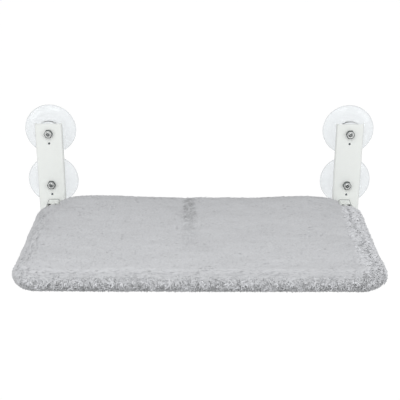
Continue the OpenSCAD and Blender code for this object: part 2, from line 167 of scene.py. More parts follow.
def makeStudio(s):
    world = bpy.data.worlds.new("studioWorld")
    bpy.context.scene.world = world
    tree = clearTree(world)
    lit, white = (addNode(tree, "Background", {"Color": (1, 1, 1), "Strength": v}) for v in (s["worldLight"], 1.0))
    mixedTo(tree, "OutputWorld", seenDirectly(tree), lit, white)

    half, z = s["floorSize"] / 2, -s["floorDrop"]
    mesh = bpy.data.meshes.new("floor")
    mesh.from_pydata([(-half, -half, z), (half, -half, z), (half, half, z), (-half, half, z)], [], [(0, 1, 2, 3)])
    mat = bpy.data.materials.new("floorWhite")
    tree = clearTree(mat)
    paint = addNode(tree, "BsdfDiffuse", {"Color": s["floorWhite"]})
    glow = addNode(tree, "Emission", {"Strength": s["floorGlow"]})
    share = times(tree, seenDirectly(tree), 1 - s["shadowShare"])
    mixedTo(tree, "OutputMaterial", share, paint, glow)
    mesh.materials.append(mat)
    newObject("floor", mesh)

    for name, (place, aim, size, power) in s["lamps"].items():
        light = bpy.data.lights.new(name, "AREA")
        light.energy, light.size = power, size
        lamp = newObject(name, light)
        lamp.location = place
        lamp.rotation_euler = (Vector(aim) - Vector(place)).to_track_quat("-Z", "Y").to_euler()


makeStudio(studio)
bpy.context.scene.view_settings.view_transform = "Standard"
print("studio: done")

# shared shader groups


def newGroup(name, inputs, outputs):
    # every group takes a vector and some numbers, and gives numbers
    tree = bpy.data.node_groups.new(name, "ShaderNodeTree")
    tree.interface.new_socket("Vector", in_out="INPUT", socket_type="NodeSocketVector")
    for label, v in inputs.items():
        tree.interface.new_socket(label, in_out="INPUT", socket_type="NodeSocketFloat").default_value = v
    for label in outputs:
        tree.interface.new_socket(label, in_out="OUTPUT", socket_type="NodeSocketFloat")
    return tree, tree.nodes.new("NodeGroupInput").outputs, tree.nodes.new("NodeGroupOutput")


def makeGrain():
    # fine mottling: a coarse and a fine noise, for the shade and for the height
    tree, given, out = newGroup("fineGrain", {"Scale": 400.0, "Amount": 0.05}, ["Shade", "Height"])
    coarse = noiseNode(tree, given["Vector"], times(tree, given["Scale"], 0.12))
    fine = noiseNode(tree, given["Vector"], given["Scale"], 2.0)
    both = times(tree, coarse, 0.6, times(tree, fine, 0.4))
    centred = mathNode(tree, "SUBTRACT", both, 0.5)
    feed(tree, out, {"Shade": times(tree, centred, given["Amount"], 1.0), "Height": both})
    return tree


def makeDust():
    # a thin veil on what faces up, broken by noise
    tree, given, out = newGroup("settledDust", {"Amount": 0.1}, ["Mask"])
    up = mathNode(tree, "MAXIMUM", axes(tree, addNode(tree, "NewGeometry")["Normal"])["Z"], 0.0)
    patch = times(tree, up, noiseNode(tree, given["Vector"], 60.0, 4.0))
    feed(tree, out, {"Mask": times(tree, patch, given["Amount"])})
    return tree


def makeWeave():
    # plain weave from two crossed sine waves in the piece's own warp and weft
    tree, given, out = newGroup("plainWeave", {"Threads": 700.0}, ["Height", "Shade"])
    across = axes(tree, given["Vector"])
    turns = times(tree, given["Threads"], math.pi)
    waves = [mathNode(tree, "SINE", times(tree, across[axis], turns)) for axis in "XY"]
    high = mathNode(tree, "ABSOLUTE", times(tree, *waves))
    slub = times(tree, noiseNode(tree, given["Vector"], 90.0), 0.2, 0.78)
    feed(tree, out, {"Height": high, "Shade": times(tree, high, 0.18, slub)})
    return tree


def makeSeamShadow():
    # painted shadow: 1 where a bracket's top meets its plate and along its outer bends, 0 elsewhere and on its flat
    # sides
    tree, given, out = newGroup("seamShade", {"Back": -0.0285, "Side": 0.2626, "Soft": 0.001}, ["Mask"])
    at, facing = axes(tree, given["Vector"]), axes(tree, addNode(tree, "TexCoord")["Normal"])
    back = mathNode(tree, "SUBTRACT", at["Y"], given["Back"])
    side = mathNode(tree, "SUBTRACT", mathNode(tree, "ABSOLUTE", at["X"]), given["Side"])
    flat = mathNode(tree, "GREATER_THAN", mathNode(tree, "ABSOLUTE", facing["X"]), 0.85)
    past = mathNode(tree, "MAXIMUM", back, mathNode(tree, "SUBTRACT", side, flat))
    mask = addNode(tree, "Math", {0: past, 1: given["Soft"]}, operation="DIVIDE", use_clamp=True)[0]
    feed(tree, out, {"Mask": mask})
    return tree


groups = {"grain": makeGrain(), "dust": makeDust(), "weave": makeWeave(), "seam": makeSeamShadow()}


def useGroup(tree, name, **inputs):
    return addNode(tree, "Group", inputs, node_tree=groups[name])


# finishes


def newSurface(name, plain):
    # a Principled surface whose constant values sit on its own sockets
    mat = bpy.data.materials.new(name)
    tree = clearTree(mat)
    skin = tree.nodes.new("ShaderNodeBsdfPrincipled")
    addNode(tree, "OutputMaterial", {"Surface": feed(tree, skin, plain)[0]})
    return mat, tree, skin


def dress(tree, skin, colour, shade, height, strength, distance):
    # a colour times a grey shade, and a height as bump
    grey = addNode(tree, "CombineColor", {0: shade, 1: shade, 2: shade})[0]
    bump = addNode(tree, "Bump", {"Strength": strength, "Distance": distance, "Height": height})[0]
    feed(tree, skin, {"Base Color": mixColours(tree, 1.0, colour, grey, "MULTIPLY"), "Normal": bump})


dustColour, seamShadowColour = (0.5, 0.49, 0.46), (0.2, 0.21, 0.21)


def makeFinish(name, colour, plain, grain, amount, bump, depth=0.0001, dust=None, seam=False):
    # grain in colour and height, and with dust also in roughness; a colour may be a blend by an attribute; seam
    # darkens it with a painted shadow line
    mat, tree, skin = newSurface(name, plain)
    at = objectPlace(tree)
    fine = useGroup(tree, "grain", Vector=at, Scale=grain, Amount=amount)
    if isinstance(colour[0], str):
        colour = mixColours(tree, attribute(tree, colour[0]), *colour[1:])
    if dust is not None:
        veil = useGroup(tree, "dust", Vector=at, Amount=dust)["Mask"]
        colour = mixColours(tree, veil, colour, dustColour)
        feed(tree, skin, {"Roughness": times(tree, fine["Shade"], plain["Roughness"], veil)})
    # painted shadow where a bracket's top meets its plate and along its outer bends
    if seam:
        colour = mixColours(tree, useGroup(tree, "seam", Vector=at)["Mask"], colour, seamShadowColour)
    dress(tree, skin, colour, fine["Shade"], fine["Height"], bump, depth)
    return mat


powderCoat = dict(
    colour=(0.86, 0.885, 0.86), plain={"Roughness": 0.42, "Coat Weight": 0.15, "Coat Roughness": 0.3},
    grain=900.0, amount=0.03, bump=0.2, depth=0.0002, dust=0.08)
finishData = {
    "powderCoat": powderCoat,
    # the brackets' coat, with a painted shadow line where they meet the plates and along their outer bends
    "bracketCoat": dict(powderCoat, seam=True),
    "tubeCoat": dict(
        colour=(0.82, 0.83, 0.82), plain={"Roughness": 0.36, "Coat Weight": 0.2, "Coat Roughness": 0.25},
        grain=1100.0, amount=0.04, bump=0.2, depth=0.0002, dust=0.12),
    "zincPlate": dict(
        colour=(0.55, 0.56, 0.57), plain={"Roughness": 0.34, "Metallic": 1.0},
        grain=1500.0, amount=0.3, bump=0.15, dust=0.1),
    # bright zinc that darkens with the tone: painted shade on a nut's flanks and bore and in a thread's roots
    "zincPaintedShade": dict(
        colour=("tone", (0.9, 0.91, 0.9), (0.035, 0.045, 0.045)), plain={"Roughness": 0.34, "Metallic": 1.0},
        grain=1400.0, amount=0.5, bump=0.2, dust=0.0),
    "nylonWasher": dict(
        colour=(0.78, 0.77, 0.72), plain={"Roughness": 0.5, "Subsurface Weight": 0.1},
        grain=900.0, amount=0.06, bump=0.08, dust=0.0),
    "greyPlug": dict(
        colour=(0.56, 0.57, 0.57), plain={"Roughness": 0.48}, grain=1200.0, amount=0.1, bump=0.2, dust=0.1),
    # clear vinyl that blends towards near black by its edge attribute: painted shade on the cups' sealing edges,
    # necks, shoulders and peg ends
    "clearVinyl": dict(
        colour=("edge", (0.89, 0.915, 0.93), (0.07, 0.075, 0.08)),
        plain={"Roughness": 0.06, "IOR": 1.27, "Transmission Weight": 0.86},
        grain=60.0, amount=0.02, bump=0.03, depth=0.0006),
    # the short, dense roots between the tufts
    "plushCloth": dict(
        colour=(0.55, 0.56, 0.58), plain={"Roughness": 0.95, "Sheen Weight": 0.3, "Sheen Roughness": 0.5},
        grain=1300.0, amount=0.5, bump=0.9, depth=0.0012),
}
finishes = {name: makeFinish(name, **given) for name, given in finishData.items()}

# the solids that stay as they are, by their names after left, right, front or rear
cadFinishes = {
    "powderCoat": ["back_plate"], "bracketCoat": ["hinge_bracket"], "tubeCoat": ["frame_tube", "crossbar"],
    "zincPlate": ["bracket_rivets", "pivot_bolt", "crossbar_insert", "joint_spigot", "joint_screws"],
    "nylonWasher": ["pivot_washers"], "greyPlug": ["leg_plug"],
}
for name, kinds in cadFinishes.items():
    for node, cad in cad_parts.items():
        if node.split("_", 1)[1] in kinds:
            cad.data.materials.clear()
            cad.data.materials.append(finishes[name])
print("finishes: done")

# meshes from grids


def gridFaces(rows, columns, closeRows=False, closeColumns=False):
    # quads between neighbouring points of a rows x columns grid, each way closed if asked
    i = np.arange(rows if closeRows else rows - 1)
    j = np.arange(columns if closeColumns else columns - 1)
    a, b = np.meshgrid(i, j, indexing="ij")
    c, d = (a + 1) % rows, (b + 1) % columns
    return np.stack([a * columns + b, a * columns + d, c * columns + d, c * columns + b], -1).reshape(-1, 4)


def meshOf(name, points, quads, triangles=(), values={}):
    # fills a mesh from arrays: points, faces of four and of three corners, and float attributes of the points
    mesh = bpy.data.meshes.new(name)
    corners = np.concatenate([np.ravel(quads), np.ravel(triangles)]).astype(np.int32)
    sizes = np.repeat([4, 3], [len(quads), len(triangles)])
    mesh.vertices.add(len(points))
    mesh.vertices.foreach_set("co", np.asarray(points, np.float32).ravel())
    mesh.loops.add(len(corners))
    mesh.loops.foreach_set("vertex_index", corners)
    mesh.polygons.add(len(sizes))
    mesh.polygons.foreach_set("loop_start", np.cumsum(sizes) - sizes)
    mesh.update(calc_edges=True)
    mesh.polygons.foreach_set("use_smooth", np.ones(len(sizes), bool))
    for label, v in values.items():
        mesh.attributes.new(label, "FLOAT", "POINT").data.foreach_set("value", np.asarray(v, np.float32).ravel())
    return mesh


def addPiece(name, mesh, finish, body, slot, *nodes):
    obj = newObject(name, mesh)
    mesh.materials.append(finishes[finish])
    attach(obj, body)
    if nodes:
        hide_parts(*nodes)
    return obj


def arcPoints(cx, cy, r, a0, a1, n):
    a = np.radians(np.linspace(a0, a1, n))
    return np.stack([cx + r * np.cos(a), cy + r * np.sin(a)], -1)


def outline(*parts):
    # points along lines (x0, y0, x1, y1, count) and arcs (x, y, radius, from, to, count), all ends included
    return np.concatenate([arcPoints(*p) if len(p) == 6 else np.linspace(p[:2], p[2:4], p[4]) for p in parts])


def turned(r, h, axis, steps, start=0.0):
    # rows of radius and reach in mm, carried round an axis along -Y; the angle runs along the columns
    a = np.arange(steps) * 2 * math.pi / steps + start
    away = np.stack([r * np.cos(a), -h + 0 * a, r * np.sin(a)], -1)
    return (axis + away * mm).reshape(-1, 3)


# suction cups
cup = {
    "steps": 120,
    "rim": 44.0, "lip": 1.2, "rimInside": 39.0, "hollow": 3.0,
    "shoulder": 30.0, "shoulderHigh": 9.0, "skirtHigh": 5.1,
    "neck": 20.5, "neckHigh": 23.5,
    "head": 12.05, "headLow": 6.45, "headHigh": 9.0, "bore": 4.05,
    "pegRadius": 1.8, "pegDrop": 18.0, "pegHigh": 25.9, "pegEdge": 0.4, "pegSteps": 32,
}


def cupProfile(c):
    # outline from the axis on the glass side out to the rim, up the skirt to the neck, and in through the bore
    rim, inside, hollow, shoulder, high = (c[k] for k in ("rim", "rimInside", "hollow", "shoulder", "shoulderHigh"))
    neck, neckHigh, bore, head, headHigh, headLow = (
        c[k] for k in ("neck", "neckHigh", "bore", "head", "headHigh", "headLow"))
    foot, skirt, lip = (shoulder - neck) / 3, (high - c["skirtHigh"]) / 2, c["lip"] / 2
    return outline(
        (0.001, hollow, inside * 0.45, hollow * 0.8, 5),
        (inside * 0.6, hollow * 0.62, inside, 0.0, 5),
        (inside + 0.6, 0.0, rim - lip, 0.0, 5),
        (rim - lip, lip, lip, -80, 90, 8),
        (rim - 2.0, c["lip"] + 0.1, shoulder + skirt + 1.5, c["skirtHigh"] - 0.25, 8),
        (shoulder + skirt, c["skirtHigh"] + skirt, skirt, 262, 180, 7),
        (shoulder - skirt, high - skirt, skirt, 0, 90, 7),
        (neck + foot, high + foot, foot, 268, 180, 8),
        (neck, high + foot + 1.5, neck, neckHigh - 0.6, 5),
        (neck - 0.6, neckHigh - 0.6, 0.6, 20, 90, 4),
        (neck - 1.6, neckHigh, bore, neckHigh, 6),
        (bore, neckHigh - 0.5, bore, headHigh, 6),
        (bore + 1.0, headHigh, head, headHigh, 4),
        (head, headHigh - 0.3, head, headLow, 3),
        (head - 1.0, headLow, 0.001, headLow, 4))


def pegProfile(c):
    r, e, low, high = c["pegRadius"], c["pegEdge"], c["neckHigh"], c["pegHigh"]
    return outline((0.001, low - 1, r, low - 1, 3), (r, low, r, high - e, 4), (r - e, high - e, e, 20, 90, 4),
                   (r - 2 * e, high, 0.001, high, 3))


def makeCups(c):
    # both outlines start and end on the axis, so they close there; the sealing edge, neck, shoulder ring and peg end
    # are painted darker, painted shade in place of the dark lines of clear vinyl and of a shaded hole at the peg
    body, peg = cupProfile(c), pegProfile(c)
    r, h = body.T
    # painted shade: dark lines at the sealing edge, at the neck and its wall, and at the shoulder ring, and a dark
    # peg end
    rim = np.clip((r - (c["rim"] - 0.9)) / 0.6, 0, 1) * 0.26
    neck = np.exp(-((r - c["neck"]) ** 2 + (h - c["neckHigh"]) ** 2) / 2.5) * 0.16
    wall = 0.06 * (np.abs(r - c["neck"]) < 0.1)
    ring = np.exp(-((r - c["shoulder"]) ** 2 + (h - c["shoulderHigh"]) ** 2) / 3.0) * 0.07
    edge = np.concatenate([np.repeat(np.maximum.reduce([rim, neck, wall, ring]), c["steps"]),
                           np.repeat(np.clip(peg[:, 1] - c["neckHigh"], 0, 1), c["pegSteps"])])
    quads = np.concatenate([gridFaces(len(body), c["steps"], closeColumns=True),
                            gridFaces(len(peg), c["pegSteps"], closeColumns=True) + len(body) * c["steps"]])
    for spot in cupSpots:
        node = f"{spot}_cup"
        axis = axisOf(node)
        parts = (body, axis, c["steps"]), (peg, axis - (0, 0, c["pegDrop"] * mm), c["pegSteps"])
        points = np.concatenate([turned(p[:, :1], p[:, 1:], start, steps) for p, start, steps in parts])
        mesh = meshOf(node, points, quads, values={"edge": edge})
        addPiece(f"{node}_vinyl", mesh, "clearVinyl", wallBody, "clear_pvc", node)


makeCups(cup)
print("cups: done")

# studs and nuts
stud = {
    "radius": 4.0, "depth": 0.55, "pitch": 1.25, "perPitch": 6, "steps": 40,
    "head": 12.0, "headEdge": 0.4, "headLow": 6.5, "headHigh": 9.0, "end": 33.0, "chamfer": 0.9,
    "endRadii": (3.1, 2.5, 1.2, 0.002), "endTones": (0.1, 0.95, 0.9, 0.15),
}
nut = {
    "flats": 13.0, "low": 25.5, "high": 31.5, "bore": 4.05, "bevel": 0.9, "ring": 5.3, "steps": 96, "turn": 30.0,
}


def addTurned(node, label, r, h, tone, axis, start=0.0, closed=False):
    rows, steps = r.shape
    quads = gridFaces(rows, steps, closed, True)
    mesh = meshOf(node, turned(r, h, axis, steps, start), quads, values={"tone": tone})
    addPiece(f"{node}_{label}", mesh, "zincPaintedShade", wallBody, "zinc", node)


def makeStud(s, node, axis):
    # head disc, a shank whose radius follows the height above its thread's helix, and a dished end; the tone paints
    # shade in the thread's roots and a dark ring on the end
    wide, low, high, edge = s["head"], s["headLow"], s["headHigh"], s["headEdge"]
    head = outline((0.001, low, wide - edge, low, 4), (wide - edge, low + edge, edge, -60, 0, 3),
                   (wide - edge, high - edge, edge, 0, 90, 3), (wide - 2, high, s["radius"] + 0.2, high, 3))
    h = np.linspace(high + 0.05, s["end"], int((s["end"] - high) / s["pitch"] * s["perPitch"]))[:, None]
    phase = (h / s["pitch"] - np.arange(s["steps"]) / s["steps"]) % 1.0
    root = np.abs(2 * phase - 1)
    taper = np.clip((s["end"] - h) / s["chamfer"], 0, 1)
    shank = s["radius"] - s["depth"] * root - (1 - taper) * s["depth"] * 1.4
    end = np.stack([s["endRadii"], np.full(4, s["end"]), s["endTones"]], -1)
    ones = np.ones(s["steps"])
    r = np.concatenate([head[:, :1] * ones, shank, end[:, :1] * ones])
    tone = np.concatenate([0.1 + 0 * head[:, :1] * ones, 0.2 + 0.6 * root, end[:, 2:] * ones])
    addTurned(node, "thread", r, np.concatenate([head[:, 1:], h, end[:, 1:2]]), tone, axis)


def makeNut(n, node, axis):
    # radius is the hexagon's, held inside a cone at each end; rows run from the bore round the outside and back
    turn = np.arange(n["steps"]) * 2 * math.pi / n["steps"]
    sector = (turn + math.pi / 6) % (math.pi / 3) - math.pi / 6
    hexagon = n["flats"] / 2 / np.cos(sector)
    inner = n["flats"] / 2 - 0.25
    low, high, bore, b = n["low"], n["high"], n["bore"], n["bevel"]
    # (radius, reach, tone); the tone is painted shade: dark flanks, chamfers and bore, and a light top face
    rows = [
        (bore, low, 0.7), (bore + 0.4, low, 0.7), (np.minimum(hexagon, inner), low, 0.8),
        (np.minimum(hexagon, inner + 0.5), low + b * 0.35, 0.8), (hexagon, low + b * 1.1, 0.9),
        (hexagon, high - b * 1.2, 0.95), (np.minimum(hexagon, inner + 1.0), high - b * 0.45, 0.95),
        (hexagon * n["ring"] / 6.2, high - 0.14, 0.9), (n["ring"], high, 0.1), (bore + 0.35, high, 0.0),
        (bore + 0.2, high - 0.1, 0.45), (bore, high - 0.7, 0.9),
    ]
    r, h, tone = (np.stack([row[k] + 0 * turn for row in rows]) for k in range(3))
    addTurned(node, "hexagon", r, h, tone, axis, math.radians(n["turn"]), True)


for spot in cupSpots:
    axis = axisOf(f"{spot}_stud")
    makeStud(stud, f"{spot}_stud", axis)
    makeNut(nut, f"{spot}_nut", axis)
print("studs and nuts: done")

# bed: outline, heights and lumps that the plush, sling and elastic share
bed = {
    "halfWidth": 276.75, "front": -342.5, "rear": -33.0,    # outline that the tips of the pile reach
    "frontCorner": 42.0, "rearCorner": 75.0,
    "across": 150, "along": 84, "cornerSteps": 8,    # points along each side of a ring
    "edge": 14.0, "middleHigh": -79.0, "sideDraw": 2.2,
    "dip": 2.5, "rise": 4.5, "riseMiddle": 0.5, "riseEnd": 243.55,
    "lift": (4.0, 185, 72), "swell": (1.5, -90, 110),    # lumps along the rear: height, place and width
    "roll": 2.0, "creaseAt": -21.0, "creaseHalf": 9.0, "creaseDeep": 1.6,
    "ruffledSides": (200, 260), "ruffledFrom": (75, 115), "ruffledFront": (310, 335),    # where it starts and is full
    "bulge": (2.2, 268, 26, -312, 30),    # front right corner: height, place and width each way
    "notch": (243.55, -65.5),    # openings in the rear corners for the brackets
    "pile": 2.3,    # cloth lies this far inside the tips
    "foot": -92.6, "hemInset": 56.0, "hemCorner": 24.0, "hemRadius": 1.05, "hemHigh": -91.7,
    "returnHigh": -90.8, "ceiling": -88.8, "ceilingInset": 36.0,
    "tubeInset": 21.5, "tubeHigh": -82.5, "tubeRoom": 8.3, "tubeBend": 30.0, "tubeRear": 10.0,
}
# the cover's rings from the top's edge: round it, down to the foot, the underside and round the hem, then the lining
edgeRows, sideRows, underRows, hemRows = 11, 8, 12, 6
footRow = edgeRows + sideRows
outerRows = footRow + underRows + hemRows
furredRows = outerRows - 3
ringCount = 2 * (bed["across"] + bed["along"])


def valueNoise(size, cell, seed, *place):
    # random numbers from -1 to 1 on a lattice, eased between with a cosine
    table = np.random.default_rng(seed).uniform(-1, 1, (size,) * len(place))
    at = [np.floor(v / cell).astype(int) for v in place]
    ease = [(1 - np.cos(math.pi * (v / cell - i))) / 2 for v, i in zip(place, at)]
    total = 0
    for corner in np.ndindex((2,) * len(place)):
        share = math.prod(e if c else 1 - e for c, e in zip(corner, ease))
        total = total + table[tuple((i + c) % size for i, c in zip(at, corner))] * share
    return total


def layered(x, y, *layers):
    # noises on one plane added up: each layer's weight, squeeze along x, shift along y, cell and seed
    return sum(w * valueNoise(64, cell, seed, y + shift, x * squeeze) for w, squeeze, shift, cell, seed in layers)


def ramp(x, low, high):
    return np.clip((x - low) / (high - low), 0, 1)


def roundedRing(b, inset, frontCorner, rearCorner):
    # rounded rectangle, anticlockwise from the middle of its front left corner; a side ends in its corners' middles
    w, f, r = b["halfWidth"] - inset, b["front"] + inset, b["rear"] - inset
    n, a, c = b["cornerSteps"], frontCorner, rearCorner
    corners = [(a - w, f + a, a), (w - a, f + a, a), (w - c, r - c, c), (c - w, r - c, c)]
    arcs = [arcPoints(*corner, 180 + 90 * k, 270 + 90 * k, 2 * n + 1) for k, corner in enumerate(corners)]
    counts = [b["across"] - 2 * n + 1, b["along"] - 2 * n + 1] * 2
    parts = []
    for arc, after, count in zip(arcs, arcs[1:] + arcs[:1], counts):
        parts += [arc[:-1], np.linspace(arc[-1], after[0], count)[:-1]]
    return np.roll(np.concatenate(parts), -n, axis=0)


def notched(b, p, back):
    # what lies in a rear corner's opening moves back along the diagonal onto its sides
    nx, ny = b["notch"][0] - back, b["notch"][1] - back
    step = np.clip(np.minimum(np.abs(p[..., 0]) - nx, p[..., 1] - ny), 0, None)
    return np.stack([p[..., 0] - np.sign(p[..., 0]) * step, p[..., 1] - step], -1)


def ringIndex(b, ringStart, insideStart):
    # a filled ring's point numbers: its edge takes the ring's own points, its inside takes new ones
    across, along = b["across"], b["along"]
    index = np.empty((along + 1, across + 1), int)
    index[1:-1, 1:-1] = insideStart + np.arange((along - 1) * (across - 1)).reshape(along - 1, across - 1)
    k = ringStart + np.arange(ringCount)
    index[0, :], index[:, -1] = k[:across + 1], k[across:across + along + 1]
    index[-1, ::-1] = k[across + along:2 * across + along + 1]
    index[::-1, 0] = np.append(k[2 * across + along:], k[0])
    return index


def filledRing(b, ring):
    # Coons patch: front to rear ruled, plus left to right ruled, less the corners' bilinear mix
    at = ringIndex(b, 0, 0)
    front, rear, left, right = (ring[k] for k in (at[0], at[-1], at[:, 0], at[:, -1]))
    s, t = np.linspace(0, 1, len(front))[None, :, None], np.linspace(0, 1, len(left))[:, None, None]
    ruled = (1 - t) * front[None] + t * rear[None] + (1 - s) * left[:, None] + s * right[:, None]
    corners = (1 - s) * (1 - t) * front[0] + s * (1 - t) * front[-1] + (1 - s) * t * rear[0] + s * t * rear[-1]
    return ruled - corners


def cellFaces(index):
    return np.stack([index[:-1, :-1], index[:-1, 1:], index[1:, 1:], index[1:, :-1]], -1).reshape(-1, 4)


def depthOf(b, y):
    # -1 at the front edge, 1 at the rear one
    return (2 * y - b["front"] - b["rear"]) / (b["rear"] - b["front"])


def crownOf(b, x, y):
    # height over the flat top: the rear edge rises, the middle dips, and a crease runs back from mid depth
    v, u = depthOf(b, y), x / b["riseEnd"]
    behind = np.clip(v, 0, None)
    rise = b["rise"] * (b["riseMiddle"] + (1 - b["riseMiddle"]) * u ** 2) * behind ** 2 * np.clip(1 - u ** 8, 0, None)
    dip = b["dip"] * np.clip(1 - (x / b["halfWidth"]) ** 2, 0, None) * np.clip(1 - v ** 2, 0, None)
    crease = b["creaseDeep"] * np.exp(-((x - b["creaseAt"]) / b["creaseHalf"]) ** 2)
    crease *= np.clip((b["rear"] - y) / b["edge"], 0, 1) * np.clip(v + 0.5, 0, 1)
    lumps = sum(high * np.exp(-((at - mid) / wide) ** 2) for at, (high, mid, wide) in (
        (np.abs(x), b["lift"]), (x, b["swell"])))
    return rise + lumps * behind ** 3 - dip - crease


def coverRows(b):
    # (inset, height, share of the crown, notch set-back) of each ring
    edge, hem, tube = b["edge"], b["hemInset"], b["tubeInset"]
    wide, deep = edge - b["pile"], b["middleHigh"] - b["foot"] + b["roll"]
    rows = []
    for a in np.radians(np.append(np.linspace(0, 90, edgeRows), np.linspace(100, 180, sideRows))):
        u, c = edge - wide * math.sin(a), math.cos(a)
        rows.append((u, b["middleHigh"] + (wide if c > 0 else deep) * c, max(c, 0.0), 1.2 + 6.0 * u / edge))
    for u in np.linspace(edge + 3.5, hem - 2, underRows):
        sag = b["roll"] * max(1 - (u - edge) / 20, 0) ** 2    # the soft edge hangs a little lower than the hem
        rows.append((u, b["foot"] - sag, 0.0, 7.5))
    rows += [(u, z, 0.0, 7.5) for u, z in arcPoints(hem, b["hemHigh"], b["hemRadius"], -90, 90, hemRows)]
    lining = outline((hem - 4, b["returnHigh"], tube + 5, b["returnHigh"], 5),
                     (tube, b["tubeHigh"], b["tubeRoom"], 270, -49, 22),
                     (b["ceilingInset"] - 4, b["ceiling"], b["ceilingInset"], b["ceiling"], 2))
    return rows + [(u, z, 0.0, 9.0) for u, z in lining]


def cornersAt(b, u, inside):
    # corner radii of the ring at inset u: the outline's own on the outside, the tubes' on the inside
    if inside:
        reach = b["tubeInset"] - u
        return max(b["tubeBend"] + reach, 12.0), max(b["tubeRear"] + reach, 4.0)
    t, cut = ramp(u, b["edge"], b["hemInset"]), min(u, b["edge"])
    return max(b["frontCorner"] - cut - t * 4.0, 10.0), (b["rearCorner"] - cut) * (1 - t) + b["hemCorner"] * t


def ruffles(b, ring):
    # outward push and lift of the curly border, strongest on the right side and in the front right corner
    x, y = ring.T
    right, left = (ramp(way * x, *b["ruffledSides"]) * ramp(-y, *b["ruffledFrom"]) for way in (1, -1))
    front = ramp(-y, *b["ruffledFront"])
    along = np.arange(ringCount) * 3.1
    curl = layered(along, 0, (0.6, 1, 0, 9.0, 5), (0.4, 1, 7, 4.5, 6))
    slow = layered(along, 0, (1.0, 1, 3, 38.0, 7))
    high, midX, wideX, midY, wideY = b["bulge"]
    bulge = high * np.exp(-((x - midX) / wideX) ** 2 - ((y - midY) / wideY) ** 2)
    push = curl * (1.1 * right + 0.45 * left + 0.7 * front) + slow * (right + 0.8 * left + 0.5 * front) + bulge
    return push, curl * (1.6 * right + 0.4 * left + 0.5 * front) + 1.6 * right


def gathers(b, u):
    # folds that the elastic draws into the hem, deepest at its edge and gone at the cover's side
    along = np.arange(ringCount) * 3.0
    fold = layered(along, 0, (0.65, 1, 0, 8.0, 11), (0.35, 1, 5, 4.4, 12))
    return -1.7 * ramp(u, 18, b["hemInset"]) ** 1.3 * (fold + 0.75) / 1.6


def coverCloth(b):
    rows = coverRows(b)
    outside = roundedRing(b, 0.0, b["frontCorner"], b["rearCorner"])
    push, lift = ruffles(b, outside)
    step = np.roll(outside, -1, 0) - np.roll(outside, 1, 0)
    away = step[:, ::-1] * (1, -1) / np.linalg.norm(step, axis=1)[:, None]
    rings = []
    for i, (u, z, crown, back) in enumerate(rows):
        side = max(0.0, 1 - u / b["edge"]) if i < footRow else 0.0
        flat = roundedRing(b, u, *cornersAt(b, u, i >= outerRows)) + away * (push * side)[:, None]
        flat = notched(b, flat, back)
        high = z + crown * crownOf(b, *flat.T)
        if i < edgeRows:
            high = high + lift * (0.35 + 0.65 * math.sin(math.pi * min(1, i / 7))) * crown
        if footRow <= i < furredRows:
            high = high + gathers(b, u)
        rings.append(np.column_stack([flat, high]))
    top, ceiling = filledRing(b, rings[0]), filledRing(b, rings[-1])
    # grid steps from the ring
    deepIn = np.minimum(*[np.minimum(k, k[::-1, ::-1]) for k in np.indices(top.shape[:2])])
    top[..., :2] = notched(b, top[..., :2], rows[0][3] + 0.9 * deepIn)
    x, y = top[..., 0], top[..., 1]
    soft = layered(x, y, (0.55, 1, 0, 34.0, 21), (0.3, 0.6, 0, 13.0, 22))
    crown = b["middleHigh"] + b["edge"] - b["pile"] + crownOf(b, x, y) + soft
    top[..., 2] += (crown - top[..., 2]) * np.clip(deepIn / 6, 0, 1)
    start = len(rows) * ringCount
    topIndex = ringIndex(b, 0, start)
    lowIndex = ringIndex(b, start - ringCount, topIndex.max() + 1)
    points = np.concatenate(rings + [patch[1:-1, 1:-1].reshape(-1, 3) for patch in (top, ceiling)])
    points[:, 0] *= 1 - b["sideDraw"] / b["halfWidth"] * np.clip(1 - depthOf(b, points[:, 1]) ** 2, 0, None)
    quads = np.concatenate([gridFaces(len(rows), ringCount, closeColumns=True)[:, ::-1],
                            cellFaces(topIndex), cellFaces(lowIndex)[:, ::-1]])
    return points, quads, topIndex


# the cloth pass: its frames, how far a point may move in mm on top and at the sides, what is held, and the cloth
puff = {
    "frames": 13, "cap": 2.4, "sideCap": 0.5, "heldRows": 29, "heldRear": -72.0,
    "settings": {
        "quality": 4, "mass": 0.25, "vertex_group_mass": "held", "tension_stiffness": 20.0,
        "compression_stiffness": 20.0, "bending_stiffness": 1.0, "use_pressure": True, "uniform_pressure_force": 4.0,
    },
}


